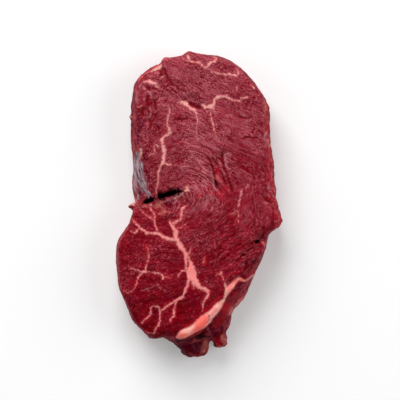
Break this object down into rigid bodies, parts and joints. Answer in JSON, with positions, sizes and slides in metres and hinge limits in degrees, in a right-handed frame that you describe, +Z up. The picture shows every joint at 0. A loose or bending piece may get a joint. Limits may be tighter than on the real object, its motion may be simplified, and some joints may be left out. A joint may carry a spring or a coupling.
{
  "type": "raw beef tenderloin steak",
  "caption": "Thick raw beef tenderloin steak: a marbled two-lobed slab with a deep side fold, a fat strip and torn ends, lying flat on its cut face.",
  "frame": {"origin": "centre of the steak's box, on the surface that it lies on", "axes": "+Y along the steak to its far, wide end, +X across it to the right, +Z up out of the cut face"},
  "size_m": [0.0902, 0.1664, 0.0265],
  "materials": {
    "raw_beef": "moist raw meat, satin, with pale pink marbling"
  },
  "bodies": {
    "root": {"steak": "raw_beef"}
  },
  "joints": []
}
